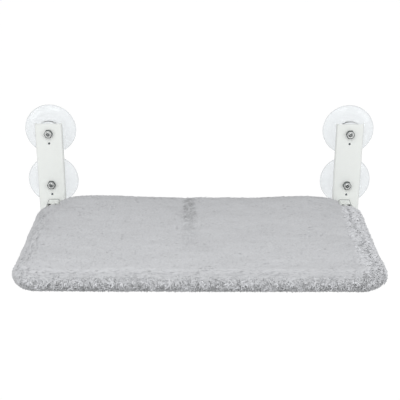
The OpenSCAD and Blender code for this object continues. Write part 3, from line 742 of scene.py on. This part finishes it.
def puffed(f, b, points, quads):
    # air pressure puffs up the plush's outer skin; the hem, rear corners and crease's seam are held, and moves capped
    skin, lining = outerRows * ringCount, len(coverRows(b)) * ringCount
    used = np.concatenate([np.arange(skin), np.arange(lining, topIndex.max() + 1)])
    place = np.full(len(points), -1)
    place[used] = np.arange(len(used))
    faces = place[quads]
    start = points[used]
    x, y = start[:, 0], start[:, 1]
    row = np.append(np.repeat(np.arange(outerRows), ringCount), np.full(len(used) - skin, -1))
    corner = ramp(np.abs(x), 215, 235) * ramp(y, f["heldRear"] - 15, f["heldRear"])
    seam = np.exp(-((x - b["creaseAt"]) / 5) ** 2) * ramp(y, -250, -160) * (row < edgeRows)
    held = np.round(np.maximum.reduce([(row >= f["heldRows"]) * 1.0, corner, seam]), 1)

    piece = newObject("puffing", meshOf("puffing", start * mm, faces[(faces >= 0).all(1)]))
    group = piece.vertex_groups.new(name="held")
    for level in np.unique(held[held > 0]):
        group.add(np.flatnonzero(held == level).tolist(), float(level), "REPLACE")
    cloth = piece.modifiers.new("cloth", "CLOTH")
    setAll(cloth.settings, f["settings"])
    cloth.settings.effector_weights.gravity = 0
    cloth.collision_settings.use_collision = False
    cloth.point_cache.frame_start, cloth.point_cache.frame_end = 1, f["frames"]
    for frameNumber in range(1, f["frames"] + 1):
        bpy.context.scene.frame_set(frameNumber)
    result = piece.evaluated_get(bpy.context.evaluated_depsgraph_get()).data
    where = np.empty(start.size, np.float32)
    result.vertices.foreach_get("co", where)
    move = where.reshape(-1, 3) / mm - start
    far = np.linalg.norm(move, axis=1)
    bpy.data.objects.remove(piece)
    bpy.context.scene.frame_set(1)
    print(f"cloth pass: moves of {far.mean():.2f} mm, at most {far.max():.2f} mm, before the cap")
    cap = f["cap"] + (f["sideCap"] - f["cap"]) * ramp(row, 1, 9)    # the sides keep their outline
    moved = points.copy()
    moved[used] += move * (cap * np.tanh(far / cap) / np.maximum(far, 1e-6))[:, None]
    return moved


coverPoints, coverQuads, topIndex = coverCloth(bed)
coverPoints = puffed(puff, bed, coverPoints, coverQuads)
cover = addPiece("cover_cloth", meshOf("plush_cover", coverPoints * mm, coverQuads), "plushCloth", bedBody, "plush",
                 "plush_cover")
print("plush cover: done")

# canvas sling and hem elastic
sling = {
    "halfWidth": 255.25, "front": -321.0, "rear": -55.0, "tubeHigh": -82.5,
    "frontCut": 30.0, "rearCutX": 15.7, "rearCutY": 14.5,
    "inner": 6.62, "outer": 7.82, "flap": 20.0, "turnTo": 222.0, "turnSteps": 26, "flapSteps": 8, "spacing": 9.0,
}


def makeCanvas():
    mat, tree, skin = newSurface("canvasWeave", {"Roughness": 0.9, "Sheen Weight": 0.15, "Sheen Roughness": 0.5})
    across = addNode(tree, "CombineXYZ", {0: attribute(tree, "warp"), 1: attribute(tree, "weft")})[0]
    cloth = useGroup(tree, "weave", Vector=across, Threads=900.0)
    fine = useGroup(tree, "grain", Vector=objectPlace(tree), Scale=260.0, Amount=0.16)
    shade = times(tree, cloth["Shade"], fine["Shade"])
    dress(tree, skin, (0.34, 0.36, 0.39), shade, cloth["Height"], 0.7, 0.0005)
    return mat


def makeElasticRib():
    # fine lengthwise ribs, worked out from the distance across the band
    mat, tree, skin = newSurface("elasticRib", {"Roughness": 0.75, "Sheen Weight": 0.2})
    turns = times(tree, attribute(tree, "across"), math.pi * 1000.0)
    rib = mathNode(tree, "ABSOLUTE", mathNode(tree, "SINE", turns))
    dress(tree, skin, (0.78, 0.78, 0.76), times(tree, rib, 0.25, 0.75), rib, 0.6, 0.0003)
    return mat


finishes["canvasWeave"], finishes["elasticRib"] = makeCanvas(), makeElasticRib()


def sleevePath(s):
    # (outward, height) from under the tube's middle round it and back onto the sheet, outside and then inside
    levels = (s["outer"], -7.4, s["outer"] - 2 * s["inner"] + 0.02), (s["inner"], -6.6, 0.05 - s["inner"])
    return [outline((0, 0, r, 270, 360 + s["turnTo"], s["turnSteps"]), (back, high, -s["flap"], high, s["flapSteps"]))
            for r, back, high in levels]


def lines(marks, spacing):
    # marks joined by evenly spaced lines in between
    parts = [np.linspace(a, b, max(2, int(round((b - a) / spacing)) + 1))[:-1] for a, b in zip(marks[:-1], marks[1:])]
    return np.concatenate(parts + [[marks[-1]]])


def slingCloth(s):
    # a flat sheet without its corners, both faces and cut edges, and a sleeve carried along each of its four sides
    w, f, r, cutF, cutX, cutY = (s[k] for k in ("halfWidth", "front", "rear", "frontCut", "rearCutX", "rearCutY"))
    xs = lines([-w, -w + cutX, -w + cutF, w - cutF, w - cutX, w], s["spacing"])
    ys = lines([f, f + cutF, r - cutY, r], s["spacing"])
    cx, cy = np.meshgrid((xs[1:] + xs[:-1]) / 2, (ys[1:] + ys[:-1]) / 2)
    kept = ~(((np.abs(cx) > w - cutF) & (cy < f + cutF)) | ((np.abs(cx) > w - cutX) & (cy > r - cutY)))
    gx, gy = np.meshgrid(xs, ys)
    size, gx, gy = gx.size, gx.ravel(), gy.ravel()
    sheet = cellFaces(np.arange(size).reshape(len(ys), len(xs)))[kept.ravel()]
    points = [np.column_stack([gx, gy, np.full(size, s["tubeHigh"] - h)]) for h in (s["inner"], s["outer"])]
    places = [np.column_stack([gx, gy])] * 2
    edges = np.sort(np.concatenate([sheet[:, [k, (k + 1) % 4]] for k in range(4)]), 1)
    pairs, times = np.unique(edges, axis=0, return_counts=True)
    rim = pairs[times == 1]
    x, y = gx[rim], gy[rim]
    a, b = rim[~((np.abs(x) > w - 0.01).all(1) | (y < f + 0.01).all(1) | (y > r - 0.01).all(1))].T
    quads = [sheet, sheet[:, ::-1] + size, np.column_stack([a, b, b + size, a + size])]

    out, ins = sleevePath(s)
    loop = np.concatenate([out, ins[::-1]])
    run = np.append(0, np.cumsum(np.linalg.norm(np.diff(out, axis=0), axis=1)))
    run = np.append(run, run[::-1])
    xf, xr = (xs[np.abs(xs) < w - cut + 0.01] for cut in (cutF, cutX))
    yy = ys[(ys > f + cutF - 0.01) & (ys < r - cutY + 0.01)]
    start, k, last = 2 * size, np.arange(len(out) - 1), len(loop) - 1
    for line, kind in ((xf, "front"), (xr, "rear"), (yy, "left"), (yy, "right")):
        n = len(line)
        d, z, away = (v[:, None] + 0 * line for v in (loop[:, 0], s["tubeHigh"] + loop[:, 1], run))
        along = line + 0 * d
        x, y, u, v = {"front": (along, f - d, along, f - away), "rear": (along, r + d, along, r + away),
                      "left": (-w - d, along, -w - away, along), "right": (w + d, along, w + away, along)}[kind]
        points.append(np.stack([x, y, z], -1).reshape(-1, 3))
        places.append(np.stack([u, v], -1).reshape(-1, 2))
        quads.append(gridFaces(len(loop), n) + start)
        for column in (0, n - 1):
            quads.append(np.stack([k, k + 1, last - k - 1, last - k], -1) * n + column + start)
        start += len(loop) * n
    area = np.outer(np.diff(ys), np.diff(xs))[kept].sum()
    area += run.max() * sum(line[-1] - line[0] for line in (xf, xr, yy, yy))
    return np.concatenate(points), np.concatenate(quads), np.concatenate(places), run.max(), area


def closedUp(mesh):
    # doubles merged, loose points dropped, and every face turned outwards
    work = bmesh.new()
    work.from_mesh(mesh)
    bmesh.ops.remove_doubles(work, verts=work.verts, dist=1e-6)
    bmesh.ops.delete(work, geom=[v for v in work.verts if not v.link_faces], context="VERTS")
    bmesh.ops.recalc_face_normals(work, faces=work.faces)
    work.to_mesh(mesh)
    work.free()
    return mesh


def makeSling(s):
    points, quads, places, taken, area = slingCloth(s)
    mesh = meshOf("canvas_sling", points * mm, quads, values={"warp": places[:, 0] * mm, "weft": places[:, 1] * mm})
    piece = addPiece("sling_canvas", closedUp(mesh), "canvasWeave", bedBody, "canvas", "canvas_sling")


elastic = {"outer": 46.0, "inner": 52.0, "thick": 0.8, "middleHigh": -91.9, "corners": (24.0, 24.0), "wave": 0.12}


def makeElastic(e, b):
    # a flat band with rounded edges, carried round the hem's rounded rectangle
    h = e["thick"] / 2
    low, high = e["outer"] + h, e["inner"] - h
    band = outline((low, h, high, h, 7), (high, 0, h, 60, -60, 3), (high, -h, low, -h, 7), (low, 0, h, 240, 120, 3))
    wave = layered(np.arange(ringCount) * 3.0, 0, (e["wave"], 1, 0, 9.0, 31))
    rings = [np.column_stack([roundedRing(b, u, *e["corners"]), e["middleHigh"] + z + wave]) for u, z in band]
    mesh = meshOf("hem_elastic", np.concatenate(rings) * mm, gridFaces(len(band), ringCount, True, True),
                  values={"across": np.repeat(band[:, 0] * mm, ringCount)})
    addPiece("elastic_band", closedUp(mesh), "elasticRib", bedBody, "elastic", "hem_elastic")


makeSling(sling)
makeElastic(elastic, bed)
print("sling and elastic: done")

# plush pile
pile = {
    "seed": 41, "perPiece": 12000,
    "perMm2": {"top": 0.40, "side": 0.40, "under": 0.17},    # tufts to a square millimetre
    "underTo": 42.0,    # the hem further in is bare cloth
    "clump": 4.8, "frontClump": 3.7,    # size of the curls, and of the finer ones in front
    "root": 0.6,    # roots start this far inside the cloth
    "stops": (0.0, 0.38, 0.74, 1.0), "widths": (0.8, 1.0, 0.72),
    # for each part of the bed: length, height, half width, curl and how much the direction wanders
    "parts": {
        "top": (9.0, 1.9, 0.80, 0.5, 0.28), "crease": (6.0, 2.4, 0.70, 2.2, 1.3),
        "front": (6.6, 3.1, 0.80, 4.2, 2.0), "right": (7.2, 2.9, 0.82, 2.0, 0.8),
        "left": (7.5, 1.7, 0.86, 0.5, 0.26), "rear": (6.5, 2.0, 0.78, 0.9, 0.5),
        "under": (6.0, 2.0, 0.85, 1.2, 0.8), "notch": (2.0, 0.8, 0.60, 0.2, 0.3),
    },
    "softNormal": 0.75,    # share of the cloth's own normal in a strand's shading
}


def unit(v):
    return v / np.maximum(np.linalg.norm(v, axis=-1, keepdims=True), 1e-9)


def pointNormals(points, quads):
    # normals of the points, from the faces around each, and the faces' areas
    a, b, c, d = (points[quads[:, k]] for k in range(4))
    across = np.cross(c - a, d - b)
    total = np.zeros_like(points)
    for k in range(4):
        np.add.at(total, quads[:, k], across)
    return unit(total), np.linalg.norm(across, axis=1) / 2


def scattered(rng, points, normals, quads, perMm2):
    # roots spread evenly by area, each a bilinear mix of its face's corners
    areas = pointNormals(points, quads)[1]
    face = quads[rng.choice(len(quads), int(areas.sum() * perMm2), p=areas / areas.sum())]
    s, t = rng.random((2, len(face), 1))
    weight = ((1 - s) * (1 - t), s * (1 - t), s * t, (1 - s) * t)
    root, n = (sum(w * v[face[:, k]] for k, w in enumerate(weight)) for v in (points, normals))
    return root, unit(n)


def tuftPlan(q, root, n, rng):
    # shares of each part of the bed at every root, and from them the direction, size and tone of every tuft
    x, y, z = root.T
    crease = np.exp(-((x + 21) / 12.5) ** 4) * ramp(y, -250, -110) * (1 - 0.6 * ramp(y, -62, -40))
    share = {
        "under": ramp(-n[:, 2], 0.3, 0.75),
        "front": ramp(-n[:, 1], 0.68, 0.96),
        "right": np.maximum(ramp(x, 229, 247), ramp(n[:, 0], 0.1, 0.5)) * ramp(-y, 70, 95),
        "left": ramp(-n[:, 0], 0.2, 0.7),
        "rear": ramp(n[:, 1], 0.2, 0.7),
        "crease": crease * ramp(n[:, 2], 0.6, 0.9),
    }
    share["top"] = np.clip(1 - sum(share.values()), 0, 1)
    notch = ramp(np.abs(x), 228, 240) * ramp(y, -84, -70)
    total = sum(share.values())
    share = {k: v / total * (1 - notch) for k, v in share.items()}
    share["notch"] = notch
    length, height, half, curl, wander = (sum(v * q["parts"][k][i] for k, v in share.items()) for i in range(5))
    top, crease, front, right, left, rear, under, notch = (share[k] for k in q["parts"])

    # the way the pile is combed: along X on top with slow swirls, down the front, outwards and down at the sides
    swirl = layered(x, y, (0.32, 0.5, 0, 40.0, 51), (0.22 + 0.3 * ramp(x, -20, 120), 0.7, 0, 13.0, 52))
    combed = np.stack([np.cos(swirl), np.sin(swirl), 0 * x], -1)
    down = np.array([0.0, 0.0, -1.0])
    outward = unit(n * (1, 1, 0) + 1e-6)
    sway = np.stack([np.sin(swirl * 3), 0 * x, 0 * x], -1)
    ways = [
        (top + crease, combed), (front, down + 0.5 * outward + 0.5 * sway),
        (right, 0.3 * outward + 0.4 * down * (n[:, 2:] < 0.7)), (left, down + 0.6 * outward),
        (rear, down * 0.6 + outward * 0.6 + 0.5 * combed), (under, 0.3 * combed - outward),
        (notch, down + 0.1 * outward),
    ]
    main = unit(sum(v[:, None] * way for v, way in ways))

    # clumps, in which the pile also leans towards their middle
    def clumps(p):
        return front * valueNoise(32, q["frontClump"], 61, *p.T) + (1 - front) * valueNoise(32, q["clump"], 62, *p.T)

    step = 0.7
    clump = clumps(root)
    slope = np.stack([clumps(root + step * axis) - clump for axis in np.eye(3)], -1) / step
    rough = np.clip(front + right + 0.5 * crease + 0.08 * left + 0.3 * under, 0, 1)
    main = main + wander[:, None] * rng.normal(0, 0.42, root.shape) + (rough * (4.5 + 2.5 * front))[:, None] * slope
    main -= n * (main * n).sum(-1, keepdims=True)

    # tone: 0 is the dark of the roots and the gaps, 1 the lightest tips; it holds random streaks and clumps, and the
    # painted light and painted shade set below
    streak = layered(x, y, (0.5, 0.35, 0, 6.0, 54), (0.5, 0.25, 0, 15.0, 55))
    corner = ramp(np.abs(x), 235, 262)
    tone = 0.70 + 0.05 * streak + rng.normal(0, 0.02, len(x))
    contrast = 0.42 + 0.12 * front - 0.25 * right - 0.1 * corner
    tone += rough * (contrast * clump + rng.normal(0, 0.12, len(x)) * (1 - 0.6 * right) + 0.02)
    # painted light on the right and left borders, and painted shade in the crease
    tone += 0.05 * right + 0.04 * left - 0.21 * crease
    # painted shade: darker low on the front, and towards the rear of the top
    tone -= 0.09 * (front * ramp(-z, 70, 92) + ramp(y, -150, -40) * (1 - right))
    # painted light on the right side towards the front
    tone += 0.09 * ramp(x, 246, 266) * ramp(y, -300, -230)
    # painted shade in patches in the groove along the inside of the right border
    paintedGrooveShade = np.exp(-((x - 237) / 3.5) ** 2) * ramp(-y, 85, 110)    # along the inside of the right border
    tone -= 0.3 * paintedGrooveShade * ramp(layered(0, y, (1.0, 1, 0, 5.0, 57)), 0.1, 0.5)
    # painted shade where the cloth turns to face forward, less on the front itself and at the corners
    tone -= 0.2 * ramp(-n[:, 1], 0.1, 0.5) * (1 - 0.6 * front) * (1 - 0.6 * corner)
    length *= rng.uniform(0.75, 1.2, len(x)) * (1 + 0.3 * rough * clump)
    height *= rng.uniform(0.7, 1.25, len(x)) * (1 + 0.35 * rough * clump)
    half *= rng.uniform(0.8, 1.2, len(x))
    return share, (unit(main), length, height, half, curl, np.clip(tone, 0, 1), rough)


def tuftMesh(q, root, n, way, length, height, half, curl, tone, rough, rng):
    # a tapered three sided strand that rises, bends over along its way, swings sideways and closes at both ends
    side = np.cross(n, way)
    phase = rng.uniform(0, 2 * math.pi, len(root))
    path = []
    for t in q["stops"]:
        lift = height * (2.6 * t - 2.1 * t * t + 0.2 * t ** 3) - q["root"]
        swing = curl * 0.5 * (np.sin(4.2 * t + phase) - np.sin(phase))
        path.append(root + n * lift[:, None] + way * (length * t ** 1.1)[:, None] + side * swing[:, None])
    path = np.stack(path, 1)
    tangent = unit(np.gradient(path, axis=1))
    e1 = unit(side[:, None] - tangent * (side[:, None] * tangent).sum(-1, keepdims=True))
    e2 = np.cross(tangent, e1)
    rings = []
    for i, w in enumerate(q["widths"]):
        for a in np.radians([90, 210, 330]):
            rings.append(path[:, i] + (e1[:, i] * math.cos(a) + 0.75 * e2[:, i] * math.sin(a)) * (half * w)[:, None])
    points = np.stack(rings + [path[:, -1]], 1)
    levels = len(q["widths"])
    start = (np.arange(len(root)) * points.shape[1])[:, None, None]
    last, tip = 3 * (levels - 1), 3 * levels
    quads = np.array([[0, 1, 4, 3], [1, 2, 5, 4], [2, 0, 3, 5]])
    quads = np.concatenate([quads + 3 * i for i in range(levels - 1)])
    triangles = np.array([[last, last + 1, tip], [last + 1, last + 2, tip], [last + 2, last, tip], [2, 1, 0]])
    stopOf = np.repeat(np.arange(levels + 1), [3] * levels + [1])
    shine = unit(points - path[:, stopOf])
    shine[:, -1] = tangent[:, -1]
    soft = (q["softNormal"] * (1 - 0.6 * rough))[:, None, None]
    shine = unit(soft * n[:, None] + (1 - soft) * shine)
    return (points.reshape(-1, 3), (quads + start).reshape(-1, 4), (triangles + start).reshape(-1, 3),
            np.repeat(tone, tip + 1), np.tile(np.array(q["stops"])[stopOf], len(root)), shine.reshape(-1, 3))


def makePileFur():
    mat, tree, skin = newSurface("plushPile", {
        "Roughness": 0.9, "Sheen Weight": 0.35, "Sheen Roughness": 0.45, "Specular IOR Level": 0.25})
    tone = attribute(tree, "tone")
    tips = mixColours(tree, tone, (0.30, 0.305, 0.31), (0.84, 0.85, 0.875))
    # deep, the colour towards the roots, is darker than the tips: painted shade down in the pile
    deep = mixColours(tree, tone, (0.18, 0.183, 0.187), (0.78, 0.79, 0.815))
    reach = mathNode(tree, "MINIMUM", times(tree, attribute(tree, "along"), 1.6), 1.0)
    fine = useGroup(tree, "grain", Vector=objectPlace(tree), Scale=1500.0, Amount=0.12)
    dress(tree, skin, mixColours(tree, reach, deep, tips), fine["Shade"], fine["Height"], 0.35, 0.0004)
    return mat


finishes["plushPile"] = makePileFur()


def makePile(q, b):
    rng = np.random.default_rng(q["seed"])
    outside = gridFaces(furredRows, ringCount, closeColumns=True)[:, ::-1]
    rowOf = np.repeat(np.arange(furredRows - 1), ringCount)
    insetOf = np.array([row[0] for row in coverRows(b)])
    zones = {
        "top": cellFaces(topIndex), "side": outside[rowOf < footRow - 1],
        "under": outside[(rowOf >= footRow - 1) & (insetOf[rowOf + 1] <= q["underTo"])],
    }
    normals = pointNormals(coverPoints, coverQuads)[0]
    spread = [scattered(rng, coverPoints, normals, zones[k], density) for k, density in q["perMm2"].items()]
    root, n = (np.concatenate(v) for v in zip(*spread))
    share, plan = tuftPlan(q, root, n, rng)
    kinds = list(q["parts"])
    kind = np.argmax(np.stack([share[k] for k in kinds]), axis=0)
    kind[kind == kinds.index("crease")] = kinds.index("top")
    for k, name in enumerate(kinds):
        chosen = np.flatnonzero(kind == k)
        chosen = chosen[np.argsort(root[chosen, 0], kind="stable")]
        count = math.ceil(len(chosen) / q["perPiece"])
        for part in range(count):
            ids = np.array_split(chosen, count)[part]
            picked = [v[ids] for v in (root, n, *plan)]
            points, quads, triangles, tones, along, shine = tuftMesh(q, *picked, rng)
            label = f"pile_{name}_{part + 1}"
            mesh = meshOf(label, points * mm, quads, triangles, {"tone": tones, "along": along})
            mesh.normals_split_custom_set_from_vertices(shine.astype(np.float32))
            corner = np.concatenate([quads.ravel(), triangles.ravel()])
            baked = mesh.uv_layers.new(name="OFBake")
            baked.data.foreach_set("uv", np.stack([tones, along], -1)[corner].astype(np.float32).ravel())
            addPiece(label, mesh, "plushPile", bedBody, "plush")
    print(f"pile: {len(root)} tufts")


makePile(pile, bed)
